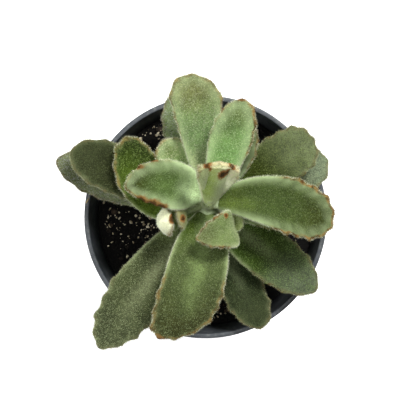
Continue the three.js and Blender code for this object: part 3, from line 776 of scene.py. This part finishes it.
RIGHT_SHOOT_LOOK = dict(
    tawny=TAWNY, base=(0.19, 0.24, 0.11), middle=(0.12, 0.165, 0.055), tip=(0.09, 0.11, 0.038), brown=1.0,
    edge_felt_and_sheen=(0.45, 0.5, 0.28), edge_felt_and_sheen_from=0.7, brown_from=0.84, brown_teeth=(0.3, 0.8), grain=(0.75, 1.25),
)
LITTLE_LEAF_LOOK = dict(
    RIGHT_SHOOT_LOOK, base=(0.2, 0.25, 0.08), middle=(0.2, 0.25, 0.08), tip=(0.26, 0.32, 0.12), brown=0.1,
    edge_felt_and_sheen=(0.5, 0.56, 0.32),
)


def plain_look(colour, tip):
    return dict(base=colour, middle=colour, tip=tip, brown=0.0, grain=(0.8, 1.15))


STALK_LOOK = plain_look((0.36, 0.43, 0.22), (0.36, 0.43, 0.22))
# The swellings are paler than the stalks: partly their pale felt, partly painted light on feet that lie in
# the leaves' shade.
SWELLING_LOOK = plain_look((0.5, 0.6, 0.36), (0.5, 0.6, 0.36))
YOUNG_TIP_LOOK = plain_look((0.2, 0.26, 0.08), (0.2, 0.14, 0.05))


def plain_values(piece):
    """A piece that isn't a leaf is felted all over and has no edge, teeth or blots."""
    for key in ("ring", "tooth", "along", "across", "spot", "upper"):
        set_values(piece, key, np.full(len(piece.data.vertices), float(key == "upper")))


def ball(name, radius):
    deselect_everything()
    bpy.ops.mesh.primitive_uv_sphere_add(segments=16, ring_count=10, radius=radius, location=(0, 0, 0))
    return named_active(name)


def rod(name, start, end, radius):
    """A ball drawn out from one place to another."""
    start, end = Vector(start), Vector(end)
    along = end - start
    piece = ball(name, radius)
    points = points_of(piece)
    points[points[:, 2] > 0.01, 2] += along.length
    turned = along.to_track_quat("Z", "Y").to_matrix()
    set_points(piece, (points @ np.array(turned).T + np.array(start)) * MM)
    plain_values(piece)
    smooth(piece)
    return piece


def make_shoot(name, shoot, looks, hairs, seed):
    """A short felted stem with its young leaves, each leaf with a finish and hairs of its own."""
    bends = shoot["bends"]
    rods = [rod(f"{name}_rod", start, end, shoot["radius"]) for start, end in zip(bends, bends[1:])]
    stalk_look = STALK_LOOK if shoot["leaves"] else YOUNG_TIP_LOOK
    pieces = [(join(f"{name}_stalk", rods), stalk_look, GREEN_HAIR)]
    for number, (form, look, hair) in enumerate(zip(shoot["leaves"], looks, hairs), 1):
        blots = SHOOT_BLOTS.get((name, number), ())
        body = make_leaf(f"{name}_leaf_{number}", form, np.array(form.foot, float), blots)
        pieces.append((body, look, hair))
    for k, (body, look, hair) in enumerate(pieces):
        settle(body, leaf_finish(f"{body.name}_felted_green", **look))
        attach(body, "root")
        if shoot["leaves"]:
            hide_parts(name)
        area = sum(face.area for face in body.data.polygons) / MM ** 2
        felt(body.name, body, int(area * HAIRS_PER_SQUARE), seed + k, (0, 0, 0.2), hair,
             CREAM_HAIR, look["brown"], TAWNY_HAIR)


make_shoot("crown_bud", CROWN_BUD, (BUD_LOOK, BUD_INNER_LOOK), (BUD_HAIR, BUD_HAIR), 31)
make_shoot("side_shoot_left", SIDE_SHOOT_LEFT, (WHITE_LEAF_LOOK, TAN_LEAF_LOOK), (WHITE_HAIR, TAN_HAIR), 41)
make_shoot("side_shoot_left_tip", SIDE_SHOOT_LEFT_TIP, (), (), 47)
make_shoot("side_shoot_right", SIDE_SHOOT_RIGHT, (RIGHT_SHOOT_LOOK, LITTLE_LEAF_LOOK),
           (GREEN_HAIR, BUD_HAIR), 51)


# Where each leaf's foot grows out of the stem: a small felted swelling.
SWELLING_LENGTH = 2.4
SWELLING_DEPTH = 1.75


def swelling(form):
    """A ball drawn out along the leaf's foot, as wide as the foot."""
    piece = ball("swelling", 1)
    points = points_of(piece)
    ahead = leaf_direction(form, np.array([0.0]))[0][0]
    heading = math.radians(form.heading)
    left = np.array([-math.sin(heading), math.cos(heading), 0])
    up = np.cross(ahead, left)
    place = foot_on_stem(form) + points[:, :1] * SWELLING_LENGTH * ahead
    place = place + points[:, 1:2] * (0.5 * FOOT_SHARE * form.width) * left
    set_points(piece, (place + points[:, 2:] * SWELLING_DEPTH * up) * MM)
    plain_values(piece)
    smooth(piece)
    return piece


swellings = join("leaf_swellings", [swelling(form) for form in LEAVES])
settle(swellings, leaf_finish("swelling_felted_green", **SWELLING_LOOK))
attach(swellings, "root")
felt("leaf_swellings", swellings, 6000, 61, (0, 0, 0.3), GREEN_HAIR, CREAM_HAIR)


# The pot, turned from its profile.
def spun(name, profile, steps):
    """A profile drawn point by point and spun round the upright axis."""
    deselect_everything()
    start = (profile[0][0] * MM, 0, profile[0][1] * MM)
    bpy.ops.mesh.primitive_plane_add(size=MM, location=start)
    piece = named_active(name)
    bpy.ops.object.transform_apply(location=True, rotation=False, scale=False)
    open_edit()
    bpy.ops.mesh.merge(type="CENTER")
    for before, after in zip(profile, profile[1:]):
        step = ((after[0] - before[0]) * MM, 0, (after[1] - before[1]) * MM)
        bpy.ops.mesh.extrude_region_move(TRANSFORM_OT_translate={"value": step})
    bpy.ops.mesh.select_all(action="SELECT")
    bpy.ops.mesh.spin(steps=steps, angle=2 * math.pi, center=(0, 0, 0), axis=(0, 0, 1))
    bpy.ops.mesh.select_all(action="SELECT")
    bpy.ops.mesh.remove_doubles(threshold=1e-6)
    bpy.ops.mesh.normals_make_consistent(inside=False)
    close_edit()
    return piece


UNDER_LIP = POT_HEIGHT - LIP_DEPTH
CHANNEL_TOP = CHANNEL_LIFT + FLOOR_THICKNESS
FOOT_INSIDE = WALL_BOTTOM_RADIUS - FOOT_RING_WIDTH


def wall_radius(height):
    """The outer radius of the pot's leaning wall."""
    return lerp(WALL_BOTTOM_RADIUS, WALL_TOP_RADIUS, height / UNDER_LIP)


# From the middle of the floor up the inside, over the lip, down the outside and back under the floor.
POT_PROFILE = [
    (0, FLOOR_THICKNESS),
    (CENTRE_DISC_RADIUS - 1, FLOOR_THICKNESS),
    (CENTRE_DISC_RADIUS + CHANNEL_LIFT - 1, CHANNEL_TOP),
    (wall_radius(CHANNEL_TOP) - WALL, CHANNEL_TOP),
    (wall_radius(SOIL_LEVEL) - WALL, SOIL_LEVEL),
    (LIP_RADIUS - LIP_WIDTH, POT_HEIGHT - 1.2),
    (LIP_RADIUS - LIP_WIDTH + 0.1, POT_HEIGHT),
    (LIP_RADIUS, POT_HEIGHT),
    (LIP_RADIUS, UNDER_LIP),
    (WALL_TOP_RADIUS, UNDER_LIP),
    (wall_radius(60), 60),
    (wall_radius(30), 30),
    (WALL_BOTTOM_RADIUS, 0),
    (FOOT_INSIDE, 0),
    (FOOT_INSIDE - 0.8, CHANNEL_LIFT),
    (CENTRE_DISC_RADIUS + CHANNEL_LIFT, CHANNEL_LIFT),
    (CENTRE_DISC_RADIUS, 0),
    (0, 0),
]


def pot_finish():
    """Black plastic, with the lip and just inside it painted lighter grey as a painted reflection, flecked
    with dust there.
    """
    finish = Finish("black_moulded_plastic")
    # The lip and the top of the inner wall: a painted reflection of the room's light, lighter grey than the
    # plastic below.
    painted_lip_reflection = finish.ramp(finish.height(), 74 * MM, 86 * MM)
    wear = finish.noise(90, 5, 0.6)
    fresh = finish.mix(finish.ramp(wear, 0.35, 0.7), rgb(0.012, 0.013, 0.015), rgb(0.022, 0.024, 0.027))
    reflection_grey = finish.mix(finish.ramp(wear, 0.35, 0.7), rgb(0.042, 0.048, 0.055), rgb(0.066, 0.073, 0.082))
    dust = finish.ramp(finish.noise(420, 4, 0.7), 0.45, 0.75, 0.0, 0.45)
    colour = finish.mix(painted_lip_reflection, fresh, finish.mix(dust, reflection_grey, rgb(0.2, 0.21, 0.2)))
    roughness = finish.ramp(wear, 0.3, 0.7, 0.34, 0.5)
    normal = finish.bump(finish.noise(1100, 3, 0.6), 0.15, 0.0003)
    return finish.shade(Base_Color=colour, Roughness=roughness, Normal=normal, Specular_IOR_Level=0.3)


def drill_holes(piece):
    """The round drain holes, cut through the raised channel of the floor."""
    drills = []
    for k in range(DRAIN_HOLES):
        angle = 2 * math.pi * k / DRAIN_HOLES
        x, y = DRAIN_RING_RADIUS * math.cos(angle), DRAIN_RING_RADIUS * math.sin(angle)
        deselect_everything()
        bpy.ops.mesh.primitive_cylinder_add(
            vertices=32, radius=DRAIN_HOLE_RADIUS * MM, depth=8 * MM, location=(x * MM, y * MM, 3 * MM),
        )
        drills.append(named_active(f"drill_{k}"))
    drill = join("drill", drills)
    apply_modifier(piece, "BOOLEAN", operation="DIFFERENCE", solver="EXACT", object=drill)
    bpy.data.objects.remove(drill)


POT_ROUNDING = 0.45
pot = spun("pot_shell", POT_PROFILE, 160)
apply_modifier(
    pot, "BEVEL", width=POT_ROUNDING * MM, segments=3, limit_method="ANGLE", angle_limit=math.radians(25),
)
drill_holes(pot)
smooth(pot, 35)
settle(pot, pot_finish())
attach(pot, "root")
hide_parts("pot")


# The potting mix.
def crumbs(x, y):
    """How far the crumbly surface of the mix stands over its level, by the frame's own rule."""
    coarse = np.sin(0.31 * x + 0.8) * np.cos(0.27 * y - 0.4)
    medium = np.sin(0.93 * x - 1.1 * y) * np.cos(0.71 * x + 0.64 * y + 1)
    fine = np.sin(2.1 * x + 0.5) * np.sin(1.9 * y - 0.7)
    return CRUMB_HEIGHT * (0.5 * coarse + 0.35 * medium + 0.3 * fine)


def soil_finish():
    finish = Finish("peat_mix")
    grain = finish.ramp(finish.noise(700, 5, 0.7), 0.35, 0.7)
    colour = finish.mix(grain, rgb(0.001, 0.001, 0.001), rgb(0.006, 0.005, 0.004))
    flecks = finish.ramp(finish.cells(900), 0.12, 0.06, 0.0, 0.4)
    colour = finish.mix(flecks, colour, rgb(0.04, 0.03, 0.02))
    normal = finish.bump(finish.noise(900, 5, 0.8), 1.0, 0.0009)
    return finish.shade(Base_Color=colour, Roughness=0.95, Normal=normal, Specular_IOR_Level=0.2)


soil_edge = wall_radius(SOIL_LEVEL) - WALL - GAP
soil_profile = [
    (0, FLOOR_THICKNESS + GAP),
    (CENTRE_DISC_RADIUS - 1, FLOOR_THICKNESS + GAP),
    (CENTRE_DISC_RADIUS + CHANNEL_LIFT - 1, CHANNEL_TOP + GAP),
    (wall_radius(CHANNEL_TOP) - WALL - GAP, CHANNEL_TOP + GAP),
    (soil_edge, SOIL_LEVEL - CRUMB_HEIGHT),
]
soil_profile += [(radius, SOIL_LEVEL) for radius in np.linspace(soil_edge - 0.3, 0, 56)]
soil = spun("potting_mix_body", soil_profile, 220)
points = points_of(soil) / MM
top = points[:, 2] > SOIL_LEVEL - 0.5
points[top, 2] += crumbs(points[top, 0], points[top, 1])
set_points(soil, points * MM)
smooth(soil)
settle(soil, soil_finish())
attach(soil, "root")
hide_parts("soil")


# What lies on the mix: crumbs of peat, bits of bark, pale grains of perlite and a dry straw.
# SOIL_REACH is how far from the middle they lie, and STEM_CLEAR how far they keep from the stem.
SOIL_REACH = 46
STEM_CLEAR = 5.5


def scatter(name, places, sizes, flatness, sunk, seed, finish):
    """One rough lump, copied at many places on the mix, each copy with its own shape, size and turn."""
    chance = np.random.default_rng(seed)
    deselect_everything()
    bpy.ops.mesh.primitive_ico_sphere_add(subdivisions=1, radius=0.5, location=(0, 0, 0))
    lump = named_active(f"{name}_lump")
    points = points_of(lump)
    faces = np.array([list(face.vertices) for face in lump.data.polygons])
    bpy.data.objects.remove(lump)
    count = len(places)
    shapes = points[None] * chance.uniform(0.65, 1.25, (count, len(points), 1))
    stretch = np.stack([np.ones(count), chance.uniform(0.5, 1, count), np.full(count, flatness)], -1)
    shapes = shapes * stretch[:, None]
    turn, tilt = chance.uniform(0, 2 * math.pi, count), chance.normal(0, 0.35, count)
    z = shapes[:, :, 2] + shapes[:, :, 0] * np.tan(tilt)[:, None]
    x = shapes[:, :, 0] * np.cos(turn)[:, None] - shapes[:, :, 1] * np.sin(turn)[:, None]
    y = shapes[:, :, 0] * np.sin(turn)[:, None] + shapes[:, :, 1] * np.cos(turn)[:, None]
    shapes = np.stack([x, y, z], -1) * sizes[:, None, None]
    ground = SOIL_LEVEL + crumbs(places[:, 0], places[:, 1]) + sizes * flatness * (0.5 - sunk)
    shapes = (shapes + np.stack([places[:, 0], places[:, 1], ground], -1)[:, None]) * MM
    piece = mesh_of_copies(name, shapes, faces)
    settle(piece, finish)
    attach(piece, "root")


def somewhere(chance, count):
    """Places on the mix, evenly spread round the stem."""
    far = np.sqrt(chance.uniform(STEM_CLEAR ** 2, SOIL_REACH ** 2, count))
    angle = chance.uniform(0, 2 * math.pi, count)
    return np.stack([STEM_FOOT[0] + far * np.cos(angle), STEM_FOOT[1] + far * np.sin(angle)], -1)


def among(chance, count, middle, spread):
    """Places gathered round a middle."""
    return np.array(middle) + chance.normal(0, 1, (count, 2)) * spread


def within(places, reach):
    return places[np.hypot(places[:, 0], places[:, 1]) < reach]


def lump_finish(name, dark, light, scale, roughness=0.9):
    finish = Finish(name)
    colour = finish.mix(finish.ramp(finish.noise(scale, 3), 0.35, 0.65), rgb(*dark), rgb(*light))
    normal = finish.bump(finish.noise(scale * 3, 3, 0.7), 0.7, 0.0004)
    return finish.shade(Base_Color=colour, Roughness=roughness, Normal=normal, Specular_IOR_Level=0.25)


chance = np.random.default_rng(7)
peat = somewhere(chance, 1500)
scatter("peat_crumbs", peat, chance.uniform(0.7, 2.4, len(peat)), 0.8, 0.35, 71,
        lump_finish("peat_crumb", (0.001, 0.001, 0.001), (0.007, 0.006, 0.0045), 500))
bark = np.vstack([
    somewhere(chance, 60), among(chance, 12, (-46, 0), (2, 9)), among(chance, 8, (8, -41), (6, 2)),
])
bark = within(bark, SOIL_REACH)
scatter("bark_bits", bark, chance.uniform(2, 4.6, len(bark)), 0.4, 0.3, 72,
        lump_finish("bark", (0.008, 0.006, 0.004), (0.04, 0.028, 0.018), 300))
# Perlite lies thickest at the left, along the back edge and at the front, as grit that water has moved.
grit = np.vstack([
    somewhere(chance, 90),
    among(chance, 120, (-25, -10), (6, 6)), among(chance, 30, (-41, -1), (4, 5)),
    among(chance, 40, (-24, 40), (5, 3)), among(chance, 34, (23, 41), (4, 2)),
    among(chance, 34, (6, -43), (6, 2.5)), among(chance, 14, (-38, -8), (4, 4)),
])
grit = within(grit, SOIL_REACH + 1.5)
scatter("perlite", grit, 0.5 + 1.7 * chance.random(len(grit)) ** 2.5, 0.75, 0.25, 73,
        lump_finish("pale_perlite", (0.25, 0.2, 0.12), (0.75, 0.68, 0.5), 700, 0.8))


def straw(name, start, middle, end, radius):
    """A dry straw: one slim stalk with a bend in it."""
    deselect_everything()
    bpy.ops.mesh.primitive_cylinder_add(vertices=10, radius=radius * MM, depth=1, location=(0, 0, 0))
    piece = named_active(name)
    open_edit()
    bpy.ops.mesh.subdivide(number_cuts=6, smoothness=0)
    close_edit()
    points = points_of(piece)
    share = points[:, 2] + 0.5
    start, middle, end = (np.array(place, float) * MM for place in (start, middle, end))
    line = (1 - share)[:, None] ** 2 * start + (2 * share * (1 - share))[:, None] * middle
    line = line + share[:, None] ** 2 * end
    along = unit(end - start)
    side = unit(np.cross(along, (0, 0, 1)))
    width = 1 - 0.4 * share
    line = line + side * (points[:, 0] * width)[:, None]
    set_points(piece, line + np.cross(side, along) * (points[:, 1] * width)[:, None])
    face_outwards()
    smooth(piece, 40)
    settle(piece, lump_finish("dry_straw", (0.2, 0.15, 0.07), (0.42, 0.33, 0.18), 400))
    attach(piece, "root")


straw("dry_straw", (-53, 6.3, 90.5), (-51, 10, 91.4), (-46.6, 15.8, 77), 0.3)


# The stem: ringed by leaf scars, green and felted towards its tip.
STEM_ROWS = 44
SCAR_HEIGHT = 0.2
SCAR_SPACING = 5.2


def stem_finish():
    finish = Finish("young_bark")
    young = finish.ramp(finish.height(), 85 * MM, 118 * MM)
    bark = finish.ramp(finish.noise(300, 4, 0.6), 0.3, 0.7)
    colour = finish.mix(bark, rgb(0.11, 0.09, 0.05), rgb(0.24, 0.2, 0.12))
    green = finish.mix(bark, rgb(0.2, 0.27, 0.1), rgb(0.34, 0.42, 0.2))
    colour = finish.mix(young, colour, green)
    normal = finish.bump(finish.noise(900, 3, 0.7), 0.6, 0.0004)
    return finish.shade(Base_Color=colour, Roughness=0.85, Normal=normal, Sheen_Weight=0.3)


stem_profile = [(0, 0)] + [(1, k / STEM_ROWS) for k in range(STEM_ROWS + 1)] + [(0, 1)]
stem = spun("stem_bark", stem_profile, 24)
points = points_of(stem) / MM
share, angle = points[:, 2], np.arctan2(points[:, 1], points[:, 0])
out = np.hypot(points[:, 0], points[:, 1])
height = lerp(STEM_FOOT[2], STEM_TIP[2], share)
scars = SCAR_HEIGHT * np.maximum(np.sin(2 * math.pi * height / SCAR_SPACING + 0.8 * np.sin(angle)), 0) ** 3
radius = (lerp(STEM_FOOT_RADIUS, STEM_TIP_RADIUS, share) + scars) * out
place = up_stem(height[:, None], STEM_FOOT, STEM_TIP)
place = place + np.stack([radius * np.cos(angle), radius * np.sin(angle), np.zeros_like(radius)], -1)
set_points(stem, place * MM)
set_values(stem, "young", smoothstep(84, 112, height))
face_outwards()
smooth(stem)
settle(stem, stem_finish())
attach(stem, "root")
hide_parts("stem")
stem_felt = hair_coat("stem_felt", stem, values_of(stem, "young") + TRACE, 2600, FELT_LENGTH, 0.07, 81,
                      (0, 0, 0.5), 0.6)
settle(stem_felt, BUD_HAIR)
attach(stem_felt, "root")


# Floor, backdrop, light and camera, in metres.
FLOOR_SIZE = 40
BACKDROP_RADIUS = 4
BACKDROP_DEPTH = 10
CAMERA_PLACE = (0.0011, 0.004, 0.59)
CAMERA_LENS = 97.36

deselect_everything()
bpy.ops.mesh.primitive_plane_add(size=FLOOR_SIZE, location=(0, 0, 0))
floor = named_active("floor")
floor_finish = Finish("pale_floor")
floor_finish.shade(Base_Color=rgb(0.9, 0.9, 0.9), Roughness=0.9, Specular_IOR_Level=0.1)
floor_finish.shade(Emission_Color=rgb(1, 1, 1), Emission_Strength=0.75)
floor.data.materials.append(floor_finish.material)

# A pale wall all round, so that low views end in the floor's tone. It lights nothing and shades nothing.
deselect_everything()
bpy.ops.mesh.primitive_cylinder_add(
    vertices=64, radius=BACKDROP_RADIUS, depth=BACKDROP_DEPTH, end_fill_type="NOTHING", location=(0, 0, 0),
)
backdrop = named_active("backdrop")
backdrop.data.materials.append(floor_finish.material)
backdrop.visible_diffuse = False
backdrop.visible_glossy = False
backdrop.visible_shadow = False


def soft_light(name, location, target, size, power):
    bpy.ops.object.light_add(type="AREA", location=location)
    lamp = bpy.context.active_object
    lamp.name = name
    lamp.data.shape = "DISK"
    lamp.data.size = size
    lamp.data.energy = power
    way = Vector(target) - Vector(location)
    lamp.rotation_euler = way.to_track_quat("-Z", "Y").to_euler()


soft_light("window", (0.36, 0.58, 1.0), (0, 0, 0.09), 0.3, 18)
soft_light("left_side", (-0.85, -0.1, 0.5), (0, 0, 0.1), 0.3, 4)
soft_light("overhead", (-0.2, 0.0, 1.2), (0, 0, 0.09), 0.8, 5)

world = bpy.data.worlds.new("soft_room")
bpy.context.scene.world = world
world.use_nodes = True
world.node_tree.nodes["Background"].inputs["Color"].default_value = rgb(1, 1, 1)
world.node_tree.nodes["Background"].inputs["Strength"].default_value = 0.08

bpy.ops.object.camera_add(location=CAMERA_PLACE, rotation=(0, 0, 0))
camera = bpy.context.active_object
camera.name = "photo_view"
camera.data.lens = CAMERA_LENS
camera.data.sensor_width = 36
camera.data.clip_start = 0.01
camera.data.clip_end = 60
bpy.context.scene.camera = camera
bpy.context.scene.view_settings.view_transform = "Standard"

deselect_everything()
